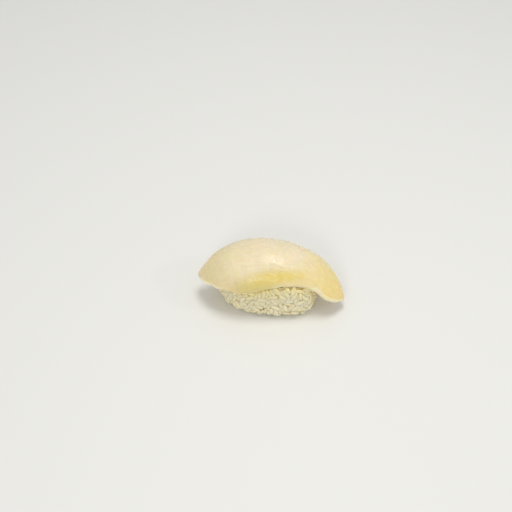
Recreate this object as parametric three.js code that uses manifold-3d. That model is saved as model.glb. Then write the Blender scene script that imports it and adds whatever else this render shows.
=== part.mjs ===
// Escolar nigiri: a hand-pressed loaf of sushi rice with one pale slice of fish draped over it.
//
// Millimetres, +Z up. The origin is on the surface that the rice stands on, under the middle of the
// nigiri's outline. +X runs along the slice and -Y is the side from which the rice shows best.
//
// The slice is a flat cut that is bent twice: its spine follows an arch along X, and across the spine
// it curls down over the shoulders of the rice. The rice is one solid out to its uneven outline: a
// rounded loaf with a flat underside and the relief of its grains, hollowed where the slice lies on it.
import * as THREE from "three";
import { mergeVertices } from "three/addons/utils/BufferGeometryUtils.js";
import Module from "manifold-3d";

// ---- driving dimensions ----
const SLICE = {
  thickness: 5.6, // at its middle
  edge: 2.6, // near its rim
  taper: 3, // how late it thins out on the way to the rim: at 1 it thins evenly
  fullness: 12, // how close to the rim its two faces turn in to meet
  curl: 17.5, // radius of the bend across the spine, halfway along
  endCurl: 30, // and at the two ends
};
// The arch that the middle layer of the slice follows: its ends and their handles, as X and Z.
const SPINE = {
  left: [-35.5, 11],
  leftHandle: [-24, 33],
  rightHandle: [18, 37],
  right: [35, 5.5],
};
// The outline of the flat cut, front edge first: along the spine from its middle, and across it.
const OUTLINE = [
  [-43.2, -2.8], [-38.2, -10.2], [-28.5, -17.2], [-13, -20.7], [1, -18], [14, -13.5], [25, -11.5],
  [33.6, -11.4], [39, -8.6], [43.7, -3.6], [36, 3.6], [23.3, 11.2], [6, 18], [-12, 16], [-27, 7], [-37.2, 0.2],
];
const LOAF = {
  middle: [-2.4, -0.5], // of its outline from above
  length: 50,
  width: 32,
  waist: 8, // height at which it is widest
  height: 27, // before the slice presses into it
  depth: 10.8, // below its waist, if nothing held it up
  // 1 is an ellipsoid, less is boxier: seen from above at its two ends, and seen from the side.
  leftSquareness: 1,
  rightSquareness: 0.65,
  sideSquareness: 0.7,
};
const GRAIN = {
  length: 5.8,
  width: 3.1,
  stand: 1, // how far it stands out of the loaf
  count: 620,
  jitter: 0.3, // how far it strays from an even spiral round the loaf, in radians
  seed: 7,
};
const GAP = 0.3; // between the slice and the rice

// ---- how finely the solids are faceted ----
const WELD = 1e-4; // points closer than this are one
const SLICE_RIM_POINTS = 52;
const SLICE_RINGS = 26;
const LOAF_AROUND = 88;
const LOAF_RINGS = 46;

const signedPower = (value, power) => Math.sign(value) * Math.abs(value) ** power;

// Gives a function whose every call returns the next number from 0 to 1 of a repeatable random row.
function randomNumbers(seed) {
  let state = seed;
  return () => {
    state = (Math.imul(state, 1664525) + 1013904223) >>> 0;
    return state / 2 ** 32;
  };
}

// Drops what a solid doesn't need and joins the vertices along the seams of a geometry.
function closed(geometry) {
  geometry.deleteAttribute("normal");
  geometry.deleteAttribute("uv");
  const merged = mergeVertices(geometry, WELD);
  merged.computeVertexNormals();
  return merged;
}

// ---- the slice ----
const spineCurve = new THREE.CubicBezierCurve3(
  ...[SPINE.left, SPINE.leftHandle, SPINE.rightHandle, SPINE.right].map(
    ([x, z]) => new THREE.Vector3(x, 0, z),
  ),
);
const spineLength = spineCurve.getLength();
const outlineCurve = new THREE.CatmullRomCurve3(
  OUTLINE.map(([along, across]) => new THREE.Vector3(along, across, 0)),
  true,
);

// Bends a point of the flat cut, given along and across it and at a height over its middle layer.
function bend(along, across, height) {
  const share = THREE.MathUtils.clamp(along / spineLength + 0.5, 0, 1);
  const spine = spineCurve.getPointAt(share);
  const tangent = spineCurve.getTangentAt(share);
  const past = along - (share - 0.5) * spineLength;
  const curl = THREE.MathUtils.lerp(SLICE.curl, SLICE.endCurl, (2 * share - 1) ** 2);
  const angle = across / curl;
  const up = (curl + height) * Math.cos(angle) - curl;
  return new THREE.Vector3(
    spine.x + tangent.x * past - tangent.z * up,
    (curl + height) * Math.sin(angle),
    spine.z + tangent.z * past + tangent.x * up,
  );
}

// The slice, or with grow the space that it takes up with that much room on every side.
function sliceGeometry(grow = 0) {
  const geometry = new THREE.SphereGeometry(1, SLICE_RIM_POINTS, SLICE_RINGS);
  const position = geometry.getAttribute("position");
  for (let i = 0; i < position.count; i++) {
    const side = position.getY(i);
    const reach = Math.sqrt(Math.max(0, 1 - side ** 2)); // 0 at the middle of a face, 1 at the rim
    const turn = Math.atan2(-position.getZ(i), position.getX(i)) / (2 * Math.PI);
    const rim = outlineCurve.getPoint(THREE.MathUtils.euclideanModulo(turn, 1));
    const halfThickness = THREE.MathUtils.lerp(SLICE.thickness, SLICE.edge, reach ** SLICE.taper) / 2;
    const rimRoom = Math.max(0, 1 - reach ** SLICE.fullness); // 0 at the rim itself
    const spread = reach * (1 + grow / rim.length());
    const height = Math.sign(side) * (halfThickness * Math.cbrt(rimRoom) + grow * rimRoom);
    position.setXYZ(i, ...bend(rim.x * spread, rim.y * spread, height));
  }
  return closed(geometry);
}

// ---- the rice ----
// A point of the smooth loaf, in the direction of a point of the unit sphere.
function loafPoint(direction) {
  const around = Math.atan2(direction.y, direction.x);
  const squareness = THREE.MathUtils.mapLinear(
    Math.cos(around), -1, 1, LOAF.leftSquareness, LOAF.rightSquareness,
  );
  const ring = Math.hypot(direction.x, direction.y) ** LOAF.sideSquareness;
  const rise = signedPower(direction.z, LOAF.sideSquareness);
  return new THREE.Vector3(
    LOAF.middle[0] + (LOAF.length / 2) * ring * signedPower(Math.cos(around), squareness),
    LOAF.middle[1] + (LOAF.width / 2) * ring * signedPower(Math.sin(around), squareness),
    LOAF.waist + rise * (rise > 0 ? LOAF.height - LOAF.waist : LOAF.depth),
  );
}

// The grains of the relief, spread evenly over the loaf and lying every way.
function scatteredGrains() {
  const random = randomNumbers(GRAIN.seed);
  const grains = [];
  const goldenAngle = Math.PI * (3 - Math.sqrt(5));
  for (let i = 0; i < GRAIN.count; i++) {
    const z = 1 - (2 * (i + random())) / GRAIN.count;
    const around = i * goldenAngle + GRAIN.jitter * random();
    const flat = Math.sqrt(1 - z ** 2);
    const middle = loafPoint(new THREE.Vector3(flat * Math.cos(around), flat * Math.sin(around), z));
    const axis = new THREE.Vector3(random() - 0.5, random() - 0.5, random() - 0.5).normalize();
    grains.push({ middle, axis });
  }
  return grains;
}

// How far the grains stand out of the loaf at a point of it.
function relief(point, grains) {
  let most = 0;
  for (const { middle, axis } of grains) {
    const away = point.clone().sub(middle);
    if (away.length() > GRAIN.length / 2) continue;
    const lengthwise = away.dot(axis);
    const sideways = Math.sqrt(Math.max(0, away.lengthSq() - lengthwise ** 2));
    const inside = 1 - ((2 * lengthwise) / GRAIN.length) ** 2 - ((2 * sideways) / GRAIN.width) ** 2;
    most = Math.max(most, inside);
  }
  return most * GRAIN.stand;
}

// The whole loaf, with the relief of its grains down to its flat underside.
function loafGeometry() {
  const geometry = new THREE.SphereGeometry(1, LOAF_AROUND, LOAF_RINGS).rotateX(Math.PI / 2);
  const position = geometry.getAttribute("position");
  const grains = scatteredGrains();
  const direction = new THREE.Vector3();
  for (let i = 0; i < position.count; i++) {
    direction.fromBufferAttribute(position, i).normalize();
    const point = loafPoint(direction);
    const outward = direction.clone().setZ(Math.max(direction.z, 0)).normalize();
    if (point.z > 0) point.addScaledVector(outward, relief(point, grains) - GRAIN.stand / 2);
    position.setXYZ(i, point.x, point.y, Math.max(point.z, 0));
  }
  return closed(geometry);
}

// ---- cutting ----
const wasm = await Module();
wasm.setup();

function solidOf(geometry) {
  return new wasm.Manifold(
    new wasm.Mesh({
      numProp: 3,
      vertProperties: new Float32Array(geometry.getAttribute("position").array),
      triVerts: new Uint32Array(geometry.index.array),
    }),
  );
}

function geometryOf(solid) {
  const mesh = solid.getMesh();
  const geometry = new THREE.BufferGeometry();
  geometry.setAttribute("position", new THREE.BufferAttribute(mesh.vertProperties, 3));
  geometry.setIndex(new THREE.BufferAttribute(mesh.triVerts, 1));
  geometry.computeVertexNormals();
  return geometry;
}

// The loaf below the slice. What stands above the slice is cut loose from it and dropped.
function riceGeometry() {
  const pieces = solidOf(loafGeometry()).subtract(solidOf(sliceGeometry(GAP))).decompose();
  return geometryOf(pieces.reduce((a, b) => (a.volume() > b.volume() ? a : b)));
}

// ---- the nigiri ----
function piece(name, geometry, color, roughness) {
  const mesh = new THREE.Mesh(geometry, new THREE.MeshStandardMaterial({ color, roughness, metalness: 0 }));
  mesh.name = name;
  return mesh;
}

const nigiri = new THREE.Group();
nigiri.add(piece("fish_slice", sliceGeometry(), 0xefe0ba, 0.3));
nigiri.add(piece("rice", riceGeometry(), 0xdcd6bd, 0.45));

// The origin goes under the middle of the outline.
const middle = new THREE.Box3().setFromObject(nigiri).getCenter(new THREE.Vector3());
for (const mesh of nigiri.children) mesh.position.set(-middle.x, -middle.y, 0);

export default nigiri;
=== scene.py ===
"""Escolar nigiri: a slice of pale, waxy fish draped over a hand-pressed loaf of sushi rice.

The loaf is about a thousand separate grains packed round a smaller core, and the slice is a flat cut
that is bent over them. Metres, +Z up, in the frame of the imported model.
"""

import math

import bmesh
import bpy
import numpy as np
from mathutils import Matrix, Vector
from mathutils.bvhtree import BVHTree


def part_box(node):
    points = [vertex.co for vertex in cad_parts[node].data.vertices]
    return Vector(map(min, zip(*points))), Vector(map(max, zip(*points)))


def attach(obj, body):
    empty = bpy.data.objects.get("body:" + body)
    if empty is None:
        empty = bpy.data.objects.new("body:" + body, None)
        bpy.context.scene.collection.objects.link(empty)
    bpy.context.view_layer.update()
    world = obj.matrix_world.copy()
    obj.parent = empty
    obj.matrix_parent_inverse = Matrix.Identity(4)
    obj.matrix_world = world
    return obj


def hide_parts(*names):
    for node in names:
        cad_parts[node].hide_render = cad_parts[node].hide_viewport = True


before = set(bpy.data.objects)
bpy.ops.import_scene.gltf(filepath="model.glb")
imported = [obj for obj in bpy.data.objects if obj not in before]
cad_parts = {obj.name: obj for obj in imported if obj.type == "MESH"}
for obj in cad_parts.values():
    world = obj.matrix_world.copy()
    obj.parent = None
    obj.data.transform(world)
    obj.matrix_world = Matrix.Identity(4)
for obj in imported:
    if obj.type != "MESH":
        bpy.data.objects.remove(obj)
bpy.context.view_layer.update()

MM = 0.001
WELD = 0.001 * MM  # points closer than this are one

# ---- the view ----
IMAGE = 512  # pixels, both ways
AZIMUTH, ELEVATION = math.radians(8), math.radians(47)
LENS, SENSOR = 70, 36  # mm
CAMERA_DISTANCE = 0.4975
ORIGIN_PIXEL = (271.5, 294.0)  # where the model's origin shows

# ---- the light and the floor ----
SKY = 0.56
OVERHEAD_PLACE, OVERHEAD_SIZE, OVERHEAD_WATTS = (0.03, 0.04, 0.65), 0.27, 1.6
FRONT_PLACE, FRONT_SIZE, FRONT_WATTS = (-0.05, -0.7, 0.5), 0.22, 1.15
SIDE_PLACE, SIDE_SIZE, SIDE_WATTS = (0.5, -0.06, 0.4), 0.06, 0.21
WARM_WHITE = (1.0, 0.99, 0.97)
FLOOR_REACH = 3  # from the middle to each of its four sides

# ---- the slice, as in the solid model ----
SLICE_THICKNESS, SLICE_EDGE = 5.6 * MM, 2.6 * MM
SLICE_TAPER = 3
SLICE_CURL, SLICE_END_CURL = 17.5 * MM, 30 * MM
SPINE = np.array([(-35.5, 11), (-24, 33), (18, 37), (35, 5.5)]) * MM  # its ends and their handles
SPINE_STEPS = 800  # in which the spine's length is measured
OUTLINE = np.array([
    (-43.2, -2.8), (-38.2, -10.2), (-28.5, -17.2), (-13, -20.7), (1, -18), (14, -13.5), (25, -11.5),
    (33.6, -11.4), (39, -8.6), (43.7, -3.6), (36, 3.6), (23.3, 11.2), (6, 18), (-12, 16), (-27, 7),
    (-37.2, 0.2),
]) * MM

# ---- the slice's surface ----
SLICE_ALONG, SLICE_ACROSS = 300, 150  # faces of each of its two sides
SMALL_TURN = 1e-4  # of the way round, to find which way the rim runs
RIM_HEIGHT = -0.4  # where its outermost line is, from -1 at the under side to 1 at the upper
UPPER_ROUNDING, UPPER_SHARPNESS = 1.3 * MM, 2.4  # how the upper side turns down into the cut edge
UNDER_ROUNDING, UNDER_SHARPNESS = 0.5 * MM, 2.4
SAG, SAG_WAVE = 0.15 * MM, 17 * MM  # how the soft slice follows the rice under it
RIM_WAVER, RIM_WAVE = 0.13 * MM, 8 * MM
FLAKE_SPACING, FLAKE_LEAN, FLAKE_BOW = 5.4 * MM, math.radians(34), 14.0  # the layers of the muscle
FLAKE_SWELL, SEAM_DEPTH, SEAM_WIDTH = 0.04 * MM, 0.04 * MM, 0.45 * MM
FLAKE_WANDER, FLAKE_WANDER_WAVE = 0.1, 15 * MM
FLAKE_CROWDING, FLAKE_CROWDING_WAVE = 0.2, 19 * MM  # the flakes are not all as wide
SEAM_STRENGTH, SEAM_CHANGE = 0.55, 0.45  # how strong the seams are, and how much that changes
FIBRE_DEPTH, FIBRE_WAVE, FIBRE_STRETCH = 0.02 * MM, 1.3 * MM, 6
DIMPLE_DEPTH, DIMPLE_WAVE = 0.016 * MM, 1.1 * MM  # they break up the shine
FINE_WAVES = 60  # that the fibres and the dimples are each summed from
FADE = 1.5 * MM  # the relief fades out this close to the rim
WAVE_SPREAD = (0.7, 1.5)  # the wavelengths of an unevenness, as shares of the stated one
FIBRE_TEXTURE = (160.0, 1300.0, 1300.0)  # its scale along the flat cut, across it and through it
BAND_SLOPE, BAND_PLACE = -0.27, 12.6 * MM  # how the band of painted shade runs over the flat cut

# ---- the grains ----
GRAIN_LENGTH, GRAIN_WIDTH, GRAIN_THICKNESS = 5.7 * MM, 2.65 * MM, 2.3 * MM
GRAIN_SIZES = (0.88, 1.12)
GRAIN_BUILDS = (0.82, 0.86, 0.86), (1.1, 1.1, 1.08)  # the leanest and the fullest: length, width, thickness
LUMP_SCALE = 330.0  # of the noise that makes the grains uneven
BEADS = np.array([-0.28, 0.0, 0.28])  # where the three balls of a grain sit, in grain lengths
BEAD_RADII = np.array([0.345, 0.4, 0.345])  # in grain widths: under a half, as grains press together
OUTER_GRAINS, INNER_GRAINS = 690, 470
OUTER_DEPTHS = (0.75 * MM, 1.1 * MM)  # how deep the balls of an outer grain may lie
INNER_DEPTHS = (2.1 * MM, 4.5 * MM)  # and those of an inner one
OUTER_TILT = 0.3  # how far the outer grains stray from lying flat
STRAY_HEIGHT, STRAY_DEPTHS = 7 * MM, (-0.7 * MM, 0.8 * MM)  # low down they lie less evenly, by so much
TOP_DEPTHS = (0.1 * MM, 0.6 * MM)  # on top, where they press into the soft slice
ON_TOP = -0.5  # where the way inwards points down by more than this, the loaf's skin is its top
PRESSED, PRESSED_FROM = 0.7, -0.1 * MM  # the hand takes off this share of what stands out past that
PRESSED_HEIGHTS = (4 * MM, 11 * MM)  # nothing below the first, and all of that share above the second
CORE_INSET = 1.3 * MM
OIL_AND_BOUNCE_REACH = 7 * MM  # how far into the rice the fish's oil and the painted light bounced off the fish reach
PACKING_STEPS = 90
REFRESH_EVERY, NEAR_MARGIN = 8, 0.8 * MM  # how often the list of near pairs is made anew, and how wide
PUSH_APART = 0.3  # share of an overlap that is taken up in one step
LEAST_GAP = 1e-7  # between two middles, so that nothing is divided by zero
PUSH_IN, PUSH_OUT = 0.8, 0.3  # and of what a ball lies too near the loaf's skin, or too deep
SKIN_SMOOTHINGS, CORE_SMOOTHINGS = 5, 3  # of the solid's relief, for the loaf's skin and for its core
SEED = 11


# ---------------------------------------------------------------- materials

def colour(red, green, blue):
    """A linear colour from one written as 0 to 255."""
    return tuple(
        (c / 255 / 12.92 if c <= 10 else ((c / 255 + 0.055) / 1.055) ** 2.4) for c in (red, green, blue)
    ) + (1.0,)


class Nodes:
    """Adds and joins the nodes of one tree."""

    def __init__(self, tree):
        self.tree = tree

    def add(self, kind, settings=None, **inputs):
        """A node with these settings, its inputs given by name, with _ where the name has a space."""
        node = self.tree.nodes.new(kind)
        for key, value in (settings or {}).items():
            setattr(node, key, value)
        for key, value in inputs.items():
            self.put(node.inputs[key.replace("_", " ")], value)
        return node

    def put(self, socket, value):
        """Joins a socket to another one, or gives it a plain value."""
        if isinstance(value, bpy.types.NodeSocket):
            self.tree.links.new(value, socket)
        else:
            socket.default_value = value

    def math(self, operation, *values):
        node = self.add("ShaderNodeMath", {"operation": operation})
        for socket, value in zip(node.inputs, values):
            self.put(socket, value)
        return node.outputs[0]

    def product(self, first, *others):
        for other in others:
            first = self.math("MULTIPLY", first, other)
        return first

    def vector(self, operation, *values):
        node = self.add("ShaderNodeVectorMath", {"operation": operation})
        for socket, value in zip([s for s in node.inputs if s.type == "VECTOR"], values):
            self.put(socket, value)
        return node.outputs[0]

    def scaled(self, vector, scale):
        node = self.add("ShaderNodeVectorMath", {"operation": "SCALE"}, Vector=vector, Scale=scale)
        return node.outputs[0]

    def split(self, vector):
        return self.add("ShaderNodeSeparateXYZ", Vector=vector).outputs

    def attribute(self, name, output="Fac"):
        return self.add("ShaderNodeAttribute", {"attribute_name": name}).outputs[output]

    def noise(self, place, scale, detail=2.0, roughness=0.5):
        node = self.add("ShaderNodeTexNoise", Vector=place, Scale=scale, Detail=detail, Roughness=roughness)
        return node.outputs["Fac"]

    def ramp(self, value, low, high, start=0.0, end=1.0):
        """A soft step: start where the value is low, end where it is high."""
        node = self.add("ShaderNodeMapRange", {"interpolation_type": "SMOOTHSTEP"})
        names = ("Value", "From Min", "From Max", "To Min", "To Max")
        for name, number in zip(names, (value, low, high, start, end)):
            self.put(node.inputs[name], number)
        return node.outputs["Result"]

    def mix(self, share, first, second, kind="RGBA"):
        """One colour, or another kind of value, over another."""
        node = self.add("ShaderNodeMix", {"data_type": kind})
        sockets = [s for s in node.inputs if s.enabled]
        for socket, value in zip(sockets, (share, first, second)):
            self.put(socket, value)
        return next(s for s in node.outputs if s.enabled)


def new_group(name, inputs, outputs):
    """A shader node group with the named inputs and outputs, and the nodes to fill it with."""
    tree = bpy.data.node_groups.new(name, "ShaderNodeTree")
    for label, kind, value in inputs:
        socket = tree.interface.new_socket(label, in_out="INPUT", socket_type=kind)
        if value is not None:
            socket.default_value = value
    for label, kind in outputs:
        tree.interface.new_socket(label, in_out="OUTPUT", socket_type=kind)
    nodes = Nodes(tree)
    return tree, nodes, nodes.add("NodeGroupInput").outputs


def moist_film_group():
    """The wet film on fish and rice: patches that shine more, over a fine unevenness."""
    tree, nodes, given = new_group(
        "moist_film",
        (
            ("Place", "NodeSocketVector", None),
            ("Patch size", "NodeSocketFloat", 5 * MM),
            ("Grain size", "NodeSocketFloat", 1 * MM),
            ("Wet roughness", "NodeSocketFloat", 0.25),
            ("Dry roughness", "NodeSocketFloat", 0.45),
        ),
        (("Roughness", "NodeSocketFloat"), ("Height", "NodeSocketFloat")),
    )
    patches = nodes.noise(given["Place"], nodes.math("DIVIDE", 1.0, given["Patch size"]), 2)
    roughness = nodes.ramp(patches, 0.38, 0.62, given["Wet roughness"], given["Dry roughness"])
    height = nodes.noise(given["Place"], nodes.math("DIVIDE", 1.0, given["Grain size"]), 2, 0.6)
    nodes.add("NodeGroupOutput", Roughness=roughness, Height=height)
    return tree


def mottle_group():
    """Two tones of one food, in soft clouds and in finer specks over them."""
    tree, nodes, given = new_group(
        "mottle",
        (
            ("Place", "NodeSocketVector", None),
            ("Cloud size", "NodeSocketFloat", 10 * MM),
            ("Speck size", "NodeSocketFloat", 1.2 * MM),
            ("Specks", "NodeSocketFloat", 0.3),
            ("Deeper", "NodeSocketColor", None),
            ("Paler", "NodeSocketColor", None),
        ),
        (("Color", "NodeSocketColor"),),
    )
    clouds = nodes.noise(given["Place"], nodes.math("DIVIDE", 1.0, given["Cloud size"]), 3)
    specks = nodes.noise(given["Place"], nodes.math("DIVIDE", 1.0, given["Speck size"]), 2)
    share = nodes.ramp(nodes.mix(given["Specks"], clouds, specks, "FLOAT"), 0.25, 0.75)
    nodes.add("NodeGroupOutput", Color=nodes.mix(share, given["Deeper"], given["Paler"]))
    return tree


MOIST_FILM, MOTTLE = moist_film_group(), mottle_group()


def new_material(name):
    material = bpy.data.materials.new(name)
    material.use_nodes = True
    return material, Nodes(material.node_tree), material.node_tree.nodes["Principled BSDF"]


def finish_surface(nodes, shader, base, film, bump):
    """Joins a colour, the film's roughness and its fine bump to the shader."""
    nodes.put(shader.inputs["Base Color"], base)
    nodes.put(shader.inputs["Roughness"], film.outputs["Roughness"])
    relief = nodes.add("ShaderNodeBump", Height=film.outputs["Height"], Distance=bump, Strength=1.0)
    nodes.put(shader.inputs["Normal"], relief.outputs[0])


def fish_material():
    """Raw escolar: waxy ivory, yellower at the thin end. Painted shade makes the front flank darker and
    yellower and the broad end darker, a painted highlight makes the cut rim at its ends pale, and
    painted light through the flesh makes the under side yellower.
    """
    material, nodes, shader = new_material("raw_escolar")
    place = nodes.add("ShaderNodeTexCoord").outputs["Object"]
    cut = nodes.attribute("flat_cut", "Vector")
    along, across, height = nodes.split(cut)

    mottle = nodes.add(
        "ShaderNodeGroup", {"node_tree": MOTTLE}, Place=place, Cloud_size=11 * MM, Speck_size=1.6 * MM,
        Specks=0.3, Deeper=colour(232, 219, 184), Paler=colour(240, 227, 196),
    ).outputs["Color"]
    fibres = nodes.noise(nodes.vector("MULTIPLY", cut, FIBRE_TEXTURE), 1.0, 2)
    base = nodes.mix(nodes.ramp(fibres, 0.35, 0.65, 0.0, 0.22), mottle, colour(222, 203, 158))

    thin_end = nodes.ramp(along, 8 * MM, 33 * MM, 0.0, 0.95)
    base = nodes.mix(thin_end, base, colour(238, 218, 147))
    # Painted shade: the broad end is painted darker, as it faces away from the overhead light.
    broad_end_painted_shade = nodes.ramp(along, -10 * MM, -36 * MM, 0.0, 0.7)
    base = nodes.mix(broad_end_painted_shade, base, colour(222, 208, 156))
    # Painted shade: a yellow band along the front flank, and the flank below it in a duller yellow, are
    # painted darker and yellower, as the flank faces away from the overhead light.
    over_band = nodes.math("ADD", across, nodes.math("MULTIPLY_ADD", along, BAND_SLOPE, BAND_PLACE))
    painted_shade_flank = nodes.product(
        nodes.ramp(over_band, 6 * MM, -1 * MM), nodes.ramp(along, -36 * MM, -14 * MM),
        nodes.ramp(along, 10 * MM, -2 * MM),
    )
    base = nodes.mix(painted_shade_flank, base, colour(220, 205, 148))
    painted_shade_band = nodes.product(
        nodes.ramp(over_band, 5 * MM, 0.2 * MM), nodes.ramp(over_band, -6 * MM, -0.5 * MM),
        nodes.ramp(along, -22 * MM, 2 * MM, 0.0, 0.8), nodes.ramp(along, 27 * MM, 6 * MM),
    )
    base = nodes.mix(painted_shade_band, base, colour(230, 209, 111))
    base = nodes.mix(nodes.product(nodes.attribute("seam"), 0.08), base, colour(251, 244, 224))
    # Painted highlight: the cut rim at the two ends is painted pale, where the thin edge catches the light.
    ends = nodes.math(
        "MAXIMUM", nodes.ramp(along, 17 * MM, 25 * MM), nodes.ramp(along, -22 * MM, -34 * MM),
    )
    rim = nodes.product(nodes.ramp(nodes.attribute("rim_distance"), 1.9 * MM, 0.7 * MM, 0.0, 0.75), ends)
    base = nodes.mix(rim, base, colour(246, 238, 208))
    # Painted light: the under side is painted yellower, standing in for light shining through the thin
    # flesh and colouring the floor beneath.
    base = nodes.mix(nodes.ramp(height, -0.4 * MM, -1.2 * MM), base, colour(240, 208, 118))

    film = nodes.add(
        "ShaderNodeGroup", {"node_tree": MOIST_FILM}, Place=place, Patch_size=5 * MM, Grain_size=0.6 * MM,
        Wet_roughness=0.19, Dry_roughness=0.36,
    )
    finish_surface(nodes, shader, base, film, 0.09 * MM)
    shader.inputs["IOR"].default_value = 1.42
    shader.inputs["Subsurface Weight"].default_value = 0.75
    shader.inputs["Subsurface Radius"].default_value = (1.0, 0.75, 0.38)
    shader.inputs["Subsurface Scale"].default_value = 3.0 * MM
    return material


def rice_material():
    """Cooked sushi rice: cloudy white grains, warmer near the fish, partly its oil and partly painted light
    bounced off it.
    """
    material, nodes, shader = new_material("cooked_rice")
    place = nodes.add("ShaderNodeTexCoord").outputs["Object"]
    mottle = nodes.add(
        "ShaderNodeGroup", {"node_tree": MOTTLE}, Place=place, Cloud_size=2.5 * MM, Speck_size=0.7 * MM,
        Specks=0.35, Deeper=colour(237, 222, 176), Paler=colour(243, 233, 195),
    ).outputs["Color"]
    base = nodes.mix(nodes.product(nodes.attribute("tone"), 0.5), mottle, colour(246, 239, 210))
    # Near the fish the rice is warmer: partly its oil, partly painted light bounced off the yellow fish.
    base = nodes.mix(nodes.attribute("oil_and_bounce_light"), base, colour(250, 231, 165))
    film = nodes.add(
        "ShaderNodeGroup", {"node_tree": MOIST_FILM}, Place=place, Patch_size=3 * MM, Grain_size=0.8 * MM,
        Wet_roughness=0.08, Dry_roughness=0.2,
    )
    finish_surface(nodes, shader, base, film, 0.05 * MM)
    shader.inputs["IOR"].default_value = 1.52
    shader.inputs["Subsurface Weight"].default_value = 0.55
    shader.inputs["Subsurface Radius"].default_value = (1.0, 1.0, 0.8)
    shader.inputs["Subsurface Scale"].default_value = 1.3 * MM
    return material


def floor_material():
    material, _, shader = new_material("pale_floor")
    shader.inputs["Base Color"].default_value = colour(232, 232, 228)
    shader.inputs["Roughness"].default_value = 0.6
    return material


# ---------------------------------------------------------------- meshes

def link_piece(name, mesh):
    piece = bpy.data.objects.new(name, mesh)
    bpy.context.collection.objects.link(piece)
    return piece


def new_mesh(name, vertices, faces, material):
    mesh = bpy.data.meshes.new(name)
    mesh.from_pydata([tuple(v) for v in vertices], [], [tuple(f) for f in faces])
    mesh.shade_smooth()
    mesh.materials.append(material)
    return mesh


def set_attribute(mesh, name, values):
    """Stores one number or one vector for each vertex."""
    values = np.asarray(values, np.float32)
    kind, field = ("FLOAT_VECTOR", "vector") if values.ndim == 2 else ("FLOAT", "value")
    mesh.attributes.new(name, kind, "POINT").data.foreach_set(field, values.ravel())


def places_of(mesh):
    places = np.empty(len(mesh.vertices) * 3, np.float32)
    mesh.vertices.foreach_get("co", places)
    return places.reshape(-1, 3).astype(float)


def unit(vectors):
    return vectors / np.linalg.norm(vectors, axis=-1, keepdims=True)


def ripples(points, wavelength, seed, waves=24):
    """Smooth unevenness of about -1 to 1, as the sum of waves that run every way."""
    rng = np.random.default_rng(seed)
    headings = unit(rng.normal(size=(waves, points.shape[-1])))
    steepness = 2 * math.pi / (wavelength * rng.uniform(*WAVE_SPREAD, waves))
    phases = rng.uniform(0, 2 * math.pi, waves)
    return np.cos(points @ (headings * steepness[:, None]).T + phases).sum(-1) / math.sqrt(waves / 2)


def closed_curve(points, turns):
    """Points at the given turns, 0 to 1, of a smooth closed curve through the given points."""
    count = len(points)
    place = np.mod(turns, 1) * count
    first = np.floor(place).astype(int)
    t = (place - first)[..., None]
    before, start, end, after = (points[(first + step) % count] for step in (-1, 0, 1, 2))

    def step_between(a, b):
        return np.sqrt(np.linalg.norm(b - a, axis=-1))[..., None]

    d0, d1, d2 = step_between(before, start), step_between(start, end), step_between(end, after)
    leave = ((start - before) / d0 - (end - before) / (d0 + d1) + (end - start) / d1) * d1
    arrive = ((end - start) / d1 - (after - start) / (d1 + d2) + (after - end) / d2) * d1
    return (
        start + leave * t + (3 * (end - start) - 2 * leave - arrive) * t**2
        + (2 * (start - end) + leave + arrive) * t**3
    )


# ---------------------------------------------------------------- the slice

def bend(along, across, height):
    """Bends points of the flat cut over the rice."""
    t = np.linspace(0, 1, SPINE_STEPS + 1)[:, None]
    a, b, c, d = SPINE
    curve = a * (1 - t) ** 3 + 3 * b * t * (1 - t) ** 2 + 3 * c * t**2 * (1 - t) + d * t**3
    speed = 3 * ((b - a) * (1 - t) ** 2 + 2 * (c - b) * t * (1 - t) + (d - c) * t**2)
    tangents = unit(speed)
    travelled = np.concatenate([[0], np.cumsum(np.linalg.norm(np.diff(curve, axis=0), axis=1))])
    length = travelled[-1]
    share = np.clip(along / length + 0.5, 0, 1)
    x, z, tx, tz = (
        np.interp(share * length, travelled, values)
        for values in (curve[:, 0], curve[:, 1], tangents[:, 0], tangents[:, 1])
    )
    past = along - (share - 0.5) * length
    curl = SLICE_CURL + (SLICE_END_CURL - SLICE_CURL) * (2 * share - 1) ** 2
    up = (curl + height) * np.cos(across / curl) - curl
    aside = (curl + height) * np.sin(across / curl)
    return np.stack([x + tx * past - tz * up, aside, z + tz * past + tx * up], -1)


def turn_in(distance, rounding, sharpness):
    """0 at the rim and 1 from a rounding's width inwards, like the corner of a rounded box."""
    share = np.clip(distance / rounding, 0, 1)
    return (1 - (1 - share) ** sharpness) ** (1 / sharpness)


def seams(flat):
    """How near each point of the flat cut is to a seam between two flakes, and the swell of the flakes."""
    along, across = flat[..., 0], flat[..., 1]
    run = along * math.cos(FLAKE_LEAN) + across * math.sin(FLAKE_LEAN) + FLAKE_BOW * across**2
    phase = run / FLAKE_SPACING + FLAKE_WANDER * ripples(flat, FLAKE_WANDER_WAVE, SEED + 3)
    phase += FLAKE_CROWDING * np.sin(2 * math.pi * run / FLAKE_CROWDING_WAVE)
    away = np.abs(phase - np.round(phase)) * FLAKE_SPACING
    strength = np.clip(SEAM_STRENGTH + SEAM_CHANGE * ripples(flat, FLAKE_WANDER_WAVE, SEED + 9), 0, 1)
    return strength * np.exp(-((away / SEAM_WIDTH) ** 2)), -np.cos(2 * math.pi * phase)


def wavering_outline(turns):
    """The outline of the flat cut, which the knife didn't leave quite even."""
    rim = closed_curve(OUTLINE, turns)
    return rim * (1 + RIM_WAVER * ripples(rim, RIM_WAVE, SEED) / np.linalg.norm(rim, axis=-1))[..., None]


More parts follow.
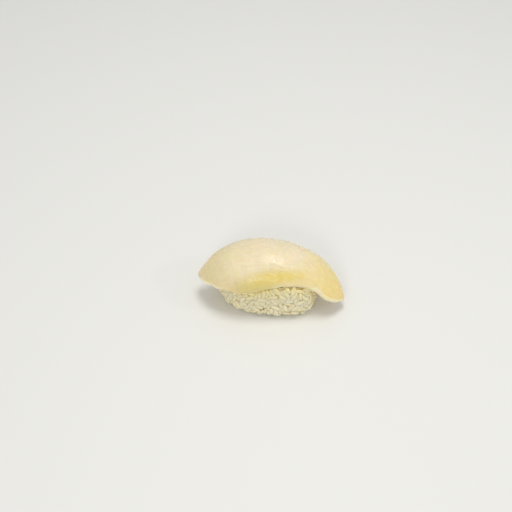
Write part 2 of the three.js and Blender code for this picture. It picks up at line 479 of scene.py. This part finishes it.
def flat_cut_grid():
    """A grid of points over the flat cut, how far out each is from 0 to 1, and its distance to the rim."""
    steps_along = np.sin(np.linspace(-1, 1, SLICE_ALONG + 1) * math.pi / 2)
    steps_across = np.sin(np.linspace(-1, 1, SLICE_ACROSS + 1) * math.pi / 2)
    u, v = np.meshgrid(steps_along, steps_across, indexing="ij")
    disc_x, disc_y = u * np.sqrt(1 - v**2 / 2), v * np.sqrt(1 - u**2 / 2)
    reach = np.minimum(np.hypot(disc_x, disc_y), 1)
    turns = np.arctan2(disc_y, disc_x) / (2 * math.pi) + 0.5
    rim = wavering_outline(turns)
    along_rim = unit(wavering_outline(turns + SMALL_TURN) - wavering_outline(turns - SMALL_TURN))
    # Straight to the rim, which is right near the rim, where it matters.
    rim_distance = (1 - reach) * np.abs(rim[..., 0] * along_rim[..., 1] - rim[..., 1] * along_rim[..., 0])
    return rim * reach[..., None], reach, rim_distance


def slice_heights(flat, reach, rim_distance):
    """The height of its upper and of its under side over its middle layer, and where its seams show."""
    half = (SLICE_THICKNESS + (SLICE_EDGE - SLICE_THICKNESS) * reach**SLICE_TAPER) / 2
    fade = np.clip(rim_distance / FADE, 0, 1)
    nearness, swell = seams(flat)
    fibres = ripples(flat * (1, FIBRE_STRETCH), FIBRE_WAVE * FIBRE_STRETCH, SEED + 5, FINE_WAVES)
    sag = SAG * ripples(flat, SAG_WAVE, SEED + 1)
    dimples = ripples(flat, DIMPLE_WAVE, SEED + 7, FINE_WAVES)
    relief = FLAKE_SWELL * swell - SEAM_DEPTH * nearness + FIBRE_DEPTH * fibres + DIMPLE_DEPTH * dimples
    upper = turn_in(rim_distance, UPPER_ROUNDING, UPPER_SHARPNESS) * (1 - RIM_HEIGHT)
    under = turn_in(rim_distance, UNDER_ROUNDING, UNDER_SHARPNESS) * (1 + RIM_HEIGHT)
    upper_height = half * (RIM_HEIGHT + upper) + relief * fade + sag
    # The under side has the same relief, turned round.
    under_height = half * (RIM_HEIGHT - under) - relief[::-1] * fade + sag
    return (upper_height, under_height), nearness * fade


def make_slice(material):
    """The slice: two grids of faces, above and below, that share their rim."""
    flat, reach, rim_distance = flat_cut_grid()
    heights, seam = slice_heights(flat, reach, rim_distance)
    top = np.arange(reach.size).reshape(reach.shape)
    on_rim = np.ones(reach.shape, bool)
    on_rim[1:-1, 1:-1] = False
    bottom = np.where(on_rim, top, top + reach.size)
    grids = [
        np.stack([g[:-1, :-1], g[1:, :-1], g[1:, 1:], g[:-1, 1:]], -1).reshape(-1, 4) for g in (top, bottom)
    ]
    vertices = np.concatenate([bend(flat[..., 0], flat[..., 1], h).reshape(-1, 3) for h in heights])
    mesh = new_mesh("escolar_slice", vertices, np.concatenate([grids[0], grids[1][:, ::-1]]), material)
    cuts = [np.concatenate([flat, h[..., None]], -1).reshape(-1, 3) for h in heights]
    set_attribute(mesh, "flat_cut", np.concatenate(cuts))
    set_attribute(mesh, "rim_distance", np.tile(rim_distance.ravel(), 2))
    set_attribute(mesh, "seam", np.tile(seam.ravel(), 2))

    # The under grid's own copy of the rim is unused.
    skin = bmesh.new()
    skin.from_mesh(mesh)
    bmesh.ops.delete(skin, geom=[v for v in skin.verts if not v.link_faces], context="VERTS")
    bmesh.ops.recalc_face_normals(skin, faces=skin.faces)
    skin.to_mesh(mesh)
    skin.free()

    # It goes where the model has it.
    low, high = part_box("fish_slice")
    places = places_of(mesh)
    middle = Vector((places.min(0) + places.max(0)) / 2)
    mesh.transform(Matrix.Translation((low + high) / 2 - middle))
    return link_piece("escolar_slice", mesh)


# ---------------------------------------------------------------- the rice

def merged_copy(node, smoothings):
    """The node's surface as one joined skin, smoothed a number of times."""
    skin = bmesh.new()
    skin.from_mesh(node.data)
    bmesh.ops.remove_doubles(skin, verts=skin.verts, dist=WELD)
    for _ in range(smoothings):
        bmesh.ops.smooth_vert(
            skin, verts=skin.verts, factor=0.5, use_axis_x=True, use_axis_y=True, use_axis_z=True
        )
    return skin


class Container:
    """The inside of the loaf, which the grains keep to."""

    def __init__(self, node):
        skin = merged_copy(node, SKIN_SMOOTHINGS)
        bmesh.ops.triangulate(skin, faces=skin.faces)
        self.tree = BVHTree.FromBMesh(skin)
        self.corners = np.array([[v.co for v in f.verts] for f in skin.faces])
        skin.free()

    def depths(self, points):
        """How deep each point lies inside, negative if outside, and the unit vector that leads deeper."""
        depths, inward = np.empty(len(points)), np.empty((len(points), 3))
        for i, point in enumerate(points):
            nearest, normal, _, distance = self.tree.find_nearest(Vector(point))
            outside = (Vector(point) - nearest).dot(normal) > 0
            depths[i] = -distance if outside else distance
            inward[i] = -normal
        return depths, inward

    def scatter(self, rng, count, depth_range):
        """Points spread over the skin at depths in a range, and the skin's normal over each of them."""
        first, second, third = self.corners.transpose(1, 0, 2)
        normals = np.cross(second - first, third - first)
        areas = np.linalg.norm(normals, axis=1)
        pick = rng.choice(len(areas), count, p=areas / areas.sum())
        shares = rng.dirichlet((1, 1, 1), count)
        points = (self.corners[pick] * shares[..., None]).sum(1)
        normals = normals[pick] / areas[pick, None]
        return points - normals * rng.uniform(*depth_range, count)[:, None], normals


def near_pairs(beads, radii, grain, margin):
    """The pairs of balls of different grains that are, or soon may be, too close to each other."""
    squares = (beads**2).sum(1)
    distances = squares[:, None] + squares - 2 * beads @ beads.T
    first, second = np.nonzero(np.triu(distances < (radii[:, None] + radii + margin) ** 2, 1))
    apart = grain[first] != grain[second]
    return first[apart], second[apart]


def scatter_grains(container, rng):
    """Where the grains start: their middles, their directions and their sizes, the outer ones first."""
    outer, normals = container.scatter(rng, OUTER_GRAINS, OUTER_DEPTHS)
    inner, _ = container.scatter(rng, INNER_GRAINS, INNER_DEPTHS)
    directions = rng.normal(size=(OUTER_GRAINS + INNER_GRAINS, 3))
    upright = (directions[:OUTER_GRAINS] * normals).sum(1, keepdims=True)
    directions[:OUTER_GRAINS] -= (1 - OUTER_TILT) * upright * normals
    sizes = rng.uniform(*GRAIN_SIZES, len(directions))
    return np.concatenate([outer, inner]), unit(directions), sizes


def depth_limits(middles, rng):
    """The least and the greatest depth of each grain's balls."""
    outer = np.arange(len(middles)) < OUTER_GRAINS
    stray = np.zeros(len(middles))
    stray[outer] = rng.uniform(*STRAY_DEPTHS, OUTER_GRAINS) * (middles[outer, 2] < STRAY_HEIGHT)
    return [np.where(outer, *depths) + stray for depths in zip(OUTER_DEPTHS, INNER_DEPTHS)]


def push_apart(beads, radii, first, second):
    """How far each ball moves off the balls of other grains that it overlaps."""
    pushes = np.zeros_like(beads)
    between = beads[first] - beads[second]
    gap = np.maximum(np.linalg.norm(between, axis=1), LEAST_GAP)
    overlap = np.maximum(radii[first] + radii[second] - gap, 0)
    push = between * (overlap / gap * PUSH_APART)[:, None]
    np.add.at(pushes, first, push)
    np.add.at(pushes, second, -push)
    return pushes


def push_to_depth(beads, outer, least, most, container):
    """How far each ball moves in or out, to lie as deep in the loaf as it should."""
    depths, inward = container.depths(beads)
    on_top = outer & (inward[:, 2] < ON_TOP)
    nearest, farthest = (np.where(on_top, *pair) for pair in zip(TOP_DEPTHS, (least, most)))
    deeper, shallower = np.clip(nearest - depths, 0, None), np.clip(depths - farthest, 0, None)
    return inward * (PUSH_IN * deeper - PUSH_OUT * shallower)[:, None]


def pack_grains(container):
    """Middles, directions and sizes of the grains: pressed together until they hardly overlap."""
    rng = np.random.default_rng(SEED)
    middles, directions, sizes = scatter_grains(container, rng)
    grain = np.repeat(np.arange(len(middles)), len(BEADS))
    radii = (sizes[:, None] * BEAD_RADII * GRAIN_WIDTH).ravel()
    shallowest, deepest = depth_limits(middles, rng)
    for step in range(PACKING_STEPS):
        offsets = (sizes[:, None] * BEADS * GRAIN_LENGTH)[:, :, None] * directions[:, None]
        beads = (middles[:, None] + offsets).reshape(-1, 3)
        if step % REFRESH_EVERY == 0:
            first, second = near_pairs(beads, radii, grain, NEAR_MARGIN)
        pushes = push_apart(beads, radii, first, second)
        pushes += push_to_depth(beads, grain < OUTER_GRAINS, shallowest[grain], deepest[grain], container)
        chains = (beads + pushes).reshape(len(middles), len(BEADS), 3)
        middles = chains.mean(1)
        directions = unit(chains[:, -1] - chains[:, 0])
    inside = container.depths(middles)[0] > shallowest / 2
    return middles[inside], directions[inside], sizes[inside]


def grain_tree():
    """The Geometry Nodes tree that turns one point for each grain into grains."""
    tree = bpy.data.node_groups.new("sushi_rice_grains", "GeometryNodeTree")
    tree.interface.new_socket("Grain middles", in_out="INPUT", socket_type="NodeSocketGeometry")
    for name, value in (
        ("Length", GRAIN_LENGTH), ("Width", GRAIN_WIDTH), ("Thickness", GRAIN_THICKNESS),
        ("Bluntness", 0.05), ("Taper", 0.3), ("Bend", 0.12 * MM), ("Unevenness", 0.5 * MM),
    ):
        tree.interface.new_socket(name, in_out="INPUT", socket_type="NodeSocketFloat").default_value = value
    tree.interface.new_socket("Seed", in_out="INPUT", socket_type="NodeSocketInt").default_value = SEED
    tree.interface.new_socket("Finish", in_out="INPUT", socket_type="NodeSocketMaterial")
    tree.interface.new_socket("Grains", in_out="OUTPUT", socket_type="NodeSocketGeometry")
    nodes = Nodes(tree)
    given = nodes.add("NodeGroupInput").outputs
    grains = placed_grains(nodes, given, one_grain(nodes, given))
    smooth = nodes.add("GeometryNodeSetShadeSmooth", Geometry=uneven_grains(nodes, given, grains))
    finished = nodes.add("GeometryNodeSetMaterial", Geometry=smooth.outputs[0], Material=given["Finish"])
    nodes.add("NodeGroupOutput", Grains=finished.outputs[0])
    return tree


def one_grain(nodes, given):
    """A cube's grid of faces drawn towards a ball, then stretched, slimmed at one end and bowed."""
    cube = nodes.add("GeometryNodeMeshCube", Size=(1, 1, 1), Vertices_X=5, Vertices_Y=4, Vertices_Z=4)
    position = nodes.add("GeometryNodeInputPosition").outputs[0]
    ball = nodes.scaled(nodes.vector("NORMALIZE", position), 0.5)
    rounded = nodes.mix(nodes.math("MULTIPLY", given["Bluntness"], 0.5), ball, position, "VECTOR")
    run = nodes.split(ball)["X"]
    slimmer = nodes.math("MULTIPLY_ADD", run, given["Taper"], 1.0)
    size = nodes.add(
        "ShaderNodeCombineXYZ", X=given["Length"], Y=nodes.product(given["Width"], slimmer),
        Z=nodes.product(given["Thickness"], slimmer),
    ).outputs[0]
    stretched = nodes.vector("MULTIPLY", rounded, size)
    bow = nodes.product(run, run, given["Bend"], -4.0)
    bowed = nodes.vector("ADD", stretched, nodes.add("ShaderNodeCombineXYZ", Y=bow).outputs[0])
    return nodes.add("GeometryNodeSetPosition", Geometry=cube.outputs["Mesh"], Position=bowed).outputs[0]


def random_value(nodes, kind, low, high, seed):
    """A random number, or a vector of them, for each grain."""
    node = nodes.add("FunctionNodeRandomValue", {"data_type": kind})
    sockets = [s for s in node.inputs if s.enabled]
    for socket, value in zip(sockets, (low, high)):
        nodes.put(socket, value)
    nodes.put(node.inputs["Seed"], seed)
    return next(s for s in node.outputs if s.enabled)


def placed_grains(nodes, given, grain):
    """A grain at each point, along its own direction, turned at random about it, in a tone of its own."""
    along, grown = (
        nodes.add("GeometryNodeInputNamedAttribute", {"data_type": kind}, Name=name).outputs[0]
        for name, kind in (("along", "FLOAT_VECTOR"), ("size", "FLOAT"))
    )
    lie = nodes.add("FunctionNodeAlignRotationToVector", {"axis": "X"}, Vector=along).outputs[0]
    spin = random_value(nodes, "FLOAT", 0.0, 2 * math.pi, given["Seed"])
    roll = nodes.add("FunctionNodeAxisAngleToRotation", Axis=(1, 0, 0), Angle=spin).outputs[0]
    turned = nodes.add(
        "FunctionNodeRotateRotation", {"rotation_space": "LOCAL"}, Rotation=lie, Rotate_By=roll,
    )
    build = random_value(nodes, "FLOAT_VECTOR", *GRAIN_BUILDS, nodes.math("ADD", given["Seed"], 2.0))
    placed = nodes.add(
        "GeometryNodeInstanceOnPoints", Points=given["Grain middles"], Instance=grain,
        Rotation=turned.outputs[0], Scale=nodes.scaled(build, grown),
    )
    tone = random_value(nodes, "FLOAT", 0.0, 1.0, nodes.math("ADD", given["Seed"], 1.0))
    toned = nodes.add(
        "GeometryNodeStoreNamedAttribute", {"data_type": "FLOAT", "domain": "INSTANCE"},
        Geometry=placed.outputs[0], Name="tone", Value=tone,
    )
    return nodes.add("GeometryNodeRealizeInstances", Geometry=toned.outputs[0]).outputs[0]


def uneven_grains(nodes, given, grains):
    """No two grains alike: each is pushed out of shape by where it lies, and is flat on the underside."""
    position = nodes.add("GeometryNodeInputPosition").outputs[0]
    lumps = nodes.add("ShaderNodeTexNoise", Vector=position, Scale=LUMP_SCALE, Detail=1.0).outputs["Color"]
    shift = nodes.scaled(nodes.vector("SUBTRACT", lumps, (0.5, 0.5, 0.5)), given["Unevenness"])
    uneven = nodes.add("GeometryNodeSetPosition", Geometry=grains, Offset=shift).outputs[0]
    x, y, z = nodes.split(position)
    level = nodes.add("ShaderNodeCombineXYZ", X=x, Y=y, Z=nodes.math("MAXIMUM", z, 0.0)).outputs[0]
    return nodes.add("GeometryNodeSetPosition", Geometry=uneven, Position=level).outputs[0]


def made_plain(piece, name):
    """A plain mesh from what a piece's modifiers make of it."""
    graph = bpy.context.evaluated_depsgraph_get()
    mesh = bpy.data.meshes.new_from_object(piece.evaluated_get(graph))
    mesh.name = name
    bpy.data.objects.remove(piece)
    return mesh


def press(mesh, container):
    """Flattens the outer sides of the grains, as the hand that pressed the loaf did."""
    places = places_of(mesh)
    depths, inward = container.depths(places)
    low, high = PRESSED_HEIGHTS
    share = PRESSED * np.clip((places[:, 2] - low) / (high - low), 0, 1) * (inward[:, 2] > ON_TOP)
    places += inward * (share * np.clip(-depths - PRESSED_FROM, 0, None))[:, None]
    mesh.vertices.foreach_set("co", places.ravel())


def make_grains(container, material):
    middles, directions, sizes = pack_grains(container)
    mesh = bpy.data.meshes.new("grain_middles")
    mesh.from_pydata([tuple(m) for m in middles], [], [])
    set_attribute(mesh, "along", directions)
    set_attribute(mesh, "size", sizes)
    points = link_piece("grain_middles", mesh)
    modifier = points.modifiers.new("grains", "NODES")
    modifier.node_group = grain_tree()
    inputs = {item.name: item.identifier for item in modifier.node_group.interface.items_tree}
    modifier[inputs["Finish"]] = material
    grains = made_plain(points, "rice_grains")
    press(grains, container)
    return grains


def make_core(node, material):
    """The unseen middle of the loaf, behind the grains."""
    low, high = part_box("rice")
    middle, size = (low + high) / 2, high - low
    skin = merged_copy(node, CORE_SMOOTHINGS)
    for vertex in skin.verts:
        away = vertex.co - middle
        vertex.co = middle + Vector([a * (1 - 2 * CORE_INSET / s) for a, s in zip(away, size)])
    mesh = bpy.data.meshes.new("rice_core")
    skin.to_mesh(mesh)
    skin.free()
    mesh.shade_smooth()
    mesh.materials.clear()
    mesh.materials.append(material)
    return mesh


def mark_oil_and_bounce_light(mesh, fish):
    """Marks how near each point of the rice is to the fish, for a warm tint that is partly its oil and
    partly painted bounce light.
    """
    skin = bmesh.new()
    skin.from_mesh(fish.data)
    tree = BVHTree.FromBMesh(skin)
    skin.free()
    away = np.array([tree.find_nearest(Vector(place))[3] for place in places_of(mesh)])
    set_attribute(mesh, "oil_and_bounce_light", np.clip(1 - away / OIL_AND_BOUNCE_REACH, 0, 1))


# ---------------------------------------------------------------- the stage

def make_camera():
    """The camera, aside by just so much that the origin shows at its pixel."""
    level = math.cos(ELEVATION)
    back = Vector((math.sin(AZIMUTH) * level, -math.cos(AZIMUTH) * level, math.sin(ELEVATION)))
    right = Vector((math.cos(AZIMUTH), math.sin(AZIMUTH), 0))
    up = back.cross(right)
    focal = LENS / SENSOR * IMAGE  # pixels
    aside = (ORIGIN_PIXEL[0] - IMAGE / 2) * CAMERA_DISTANCE / focal
    above = (IMAGE / 2 - ORIGIN_PIXEL[1]) * CAMERA_DISTANCE / focal
    camera = bpy.data.objects.new("camera", bpy.data.cameras.new("camera"))
    camera.data.lens, camera.data.sensor_width = LENS, SENSOR
    camera.data.clip_start, camera.data.clip_end = 0.01, 10
    camera.location = back * CAMERA_DISTANCE - right * aside - up * above
    camera.rotation_mode = "QUATERNION"
    camera.rotation_quaternion = back.to_track_quat("Z", "Y")
    bpy.context.collection.objects.link(camera)
    bpy.context.scene.camera = camera


def add_light(name, place, size, watts):
    lamp = bpy.data.lights.new(name, "AREA")
    lamp.shape, lamp.size, lamp.energy, lamp.color = "DISK", size, watts, WARM_WHITE
    light = bpy.data.objects.new(name, lamp)
    light.location = place
    light.rotation_mode = "QUATERNION"
    light.rotation_quaternion = Vector(place).to_track_quat("Z", "Y")
    bpy.context.collection.objects.link(light)


def make_stage():
    corners = [(x * FLOOR_REACH, y * FLOOR_REACH, 0) for x, y in ((-1, -1), (1, -1), (1, 1), (-1, 1))]
    link_piece("floor", new_mesh("floor", corners, [(0, 1, 2, 3)], floor_material()))
    world = bpy.data.worlds.new("studio")
    world.use_nodes = True
    world.node_tree.nodes["Background"].inputs["Color"].default_value = (1.0, 1.0, 1.0, 1.0)
    world.node_tree.nodes["Background"].inputs["Strength"].default_value = SKY
    bpy.context.scene.world = world
    add_light("overhead", OVERHEAD_PLACE, OVERHEAD_SIZE, OVERHEAD_WATTS)
    add_light("front", FRONT_PLACE, FRONT_SIZE, FRONT_WATTS)
    add_light("side", SIDE_PLACE, SIDE_SIZE, SIDE_WATTS)
    bpy.context.scene.view_settings.view_transform = "Standard"


# ---------------------------------------------------------------- the nigiri

make_camera()
make_stage()

fish = make_slice(fish_material())
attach(fish, "root")
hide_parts("fish_slice")

rice_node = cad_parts["rice"]
cooked_rice = rice_material()
for rice_mesh in (make_grains(Container(rice_node), cooked_rice), make_core(rice_node, cooked_rice)):
    mark_oil_and_bounce_light(rice_mesh, fish)
    rice = link_piece(rice_mesh.name, rice_mesh)
    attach(rice, "root")
    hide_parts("rice")
